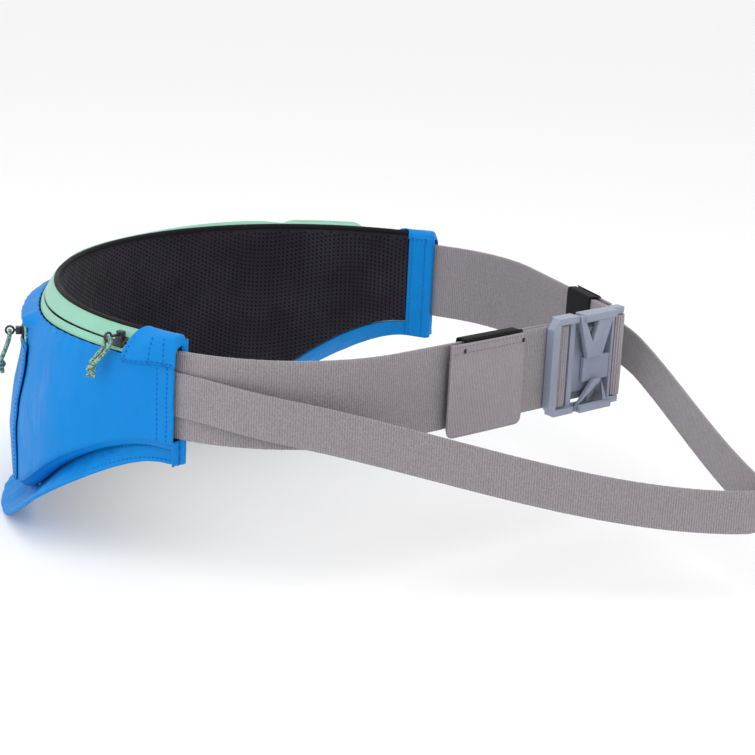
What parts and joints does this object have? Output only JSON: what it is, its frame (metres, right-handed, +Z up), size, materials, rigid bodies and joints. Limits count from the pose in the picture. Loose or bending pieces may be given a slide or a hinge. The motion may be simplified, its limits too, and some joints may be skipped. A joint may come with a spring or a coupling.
{
  "type": "waist pack",
  "caption": "Curved zip-top waist pack with a padded mesh back, a wide belt closed by a side-squeeze buckle, sliding keepers and a slack narrow front strap.",
  "frame": {"origin": "middle of the overall box in plan, on the surface that the pack's hem stands on", "axes": "+Z up, along the height of the bent pack; -Y is the pack's outward face; +Y is towards the buckle and the slack strap's fold; +X is the end with the main zipper's slider"},
  "size_m": [0.3636, 0.4865, 0.1418],
  "materials": {
    "shell_fabric": "smooth coated woven nylon",
    "spacer_mesh": "knitted spacer mesh with small holes",
    "foam": "closed-cell foam sheet",
    "lining": "thin plain lining",
    "piping": "smooth coated bias tape over a cord",
    "zip_tape": "water-repellent coated zipper tape",
    "zip_coil": "nylon coil",
    "slider_metal": "dark lacquered die-cast zinc",
    "pull_cord": "braided cord with mixed fleck",
    "webbing": "ribbed woven webbing",
    "elastic": "woven elastic",
    "buckle_plastic": "moulded acetal"
  },
  "bodies": {
    "pack": {"back_mesh": "spacer_mesh", "foam_pad": "foam", "back_lining": "lining", "top_piping": "piping", "bottom_hem": "shell_fabric", "wing_facing_near": "shell_fabric", "wing_facing_far": "shell_fabric", "front_panel": "shell_fabric", "pocket_panel": "shell_fabric", "zip_tape_inner": "zip_tape", "zip_tape_outer": "zip_tape", "zip_coil_inner": "zip_coil", "zip_coil_outer": "zip_coil", "zip_stops": "slider_metal", "pocket_tape_upper": "zip_tape", "pocket_tape_lower": "zip_tape", "pocket_coil_upper": "zip_coil", "pocket_coil_lower": "zip_coil", "wide_belt_near": "webbing", "wide_belt_far": "webbing", "narrow_strap": "webbing", "buckle_female": "buckle_plastic"},
    "main_slider": {"main_slider": "slider_metal", "main_slider_bridge": "slider_metal"},
    "main_pull": {"main_pull_hook": "slider_metal", "main_pull_cord": "pull_cord", "main_pull_knot": "pull_cord"},
    "pocket_slider": {"pocket_slider": "slider_metal", "pocket_slider_bridge": "slider_metal"},
    "pocket_pull": {"pocket_pull_hook": "slider_metal", "pocket_pull_cord": "pull_cord", "pocket_pull_knot": "pull_cord"},
    "buckle_male_half": {"buckle_male": "buckle_plastic", "belt_loop": "webbing"},
    "upper_catch": {"upper_catch": "buckle_plastic"},
    "lower_catch": {"lower_catch": "buckle_plastic"},
    "near_keeper": {"near_keeper_band": "elastic", "near_keeper_face": "webbing"},
    "far_keeper": {"far_keeper_band": "elastic", "far_keeper_face": "webbing"}
  },
  "joints": [
    {"name": "main_zipper_run", "type": "hinge", "parent": "pack", "child": "main_slider", "pos_m": [-0.0022, -0.0432, 0], "axis": [0, 0, 1], "range_deg": [-152, 0]},
    {"name": "main_pull_swing", "type": "hinge", "parent": "main_slider", "child": "main_pull", "pos_m": [0.16797, -0.08563, 0.13771], "axis": [0.9703, -0.2419, 0], "range_deg": [-25, 60]},
    {"name": "pocket_zipper_run", "type": "hinge", "parent": "pack", "child": "pocket_slider", "pos_m": [-0.0022, -0.0432, 0], "axis": [0, 0, 1], "range_deg": [-74, 0]},
    {"name": "pocket_pull_swing", "type": "hinge", "parent": "pocket_slider", "child": "pocket_pull", "pos_m": [0.10914, -0.19095, 0.111], "axis": [0.6018, -0.7986, 0], "range_deg": [-40, 40]},
    {"name": "buckle_release", "type": "slide", "parent": "pack", "child": "buckle_male_half", "axis": [0.9205, -0.3907, 0], "range_m": [0, 0.02]},
    {"name": "upper_catch_squeeze", "type": "slide", "parent": "buckle_male_half", "child": "upper_catch", "axis": [0, 0, -1], "range_m": [0, 0.003], "stiffness_N_per_m": 1500},
    {"name": "lower_catch_squeeze", "type": "slide", "parent": "buckle_male_half", "child": "lower_catch", "axis": [0, 0, 1], "range_m": [0, 0.003], "stiffness_N_per_m": 1500},
    {"name": "near_keeper_slide", "type": "slide", "parent": "pack", "child": "near_keeper", "axis": [0.9205, -0.3907, 0], "range_m": [-0.018, 0.018]},
    {"name": "far_keeper_slide", "type": "slide", "parent": "pack", "child": "far_keeper", "axis": [-0.667, -0.745, 0], "range_m": [0, 0.05]}
  ]
}
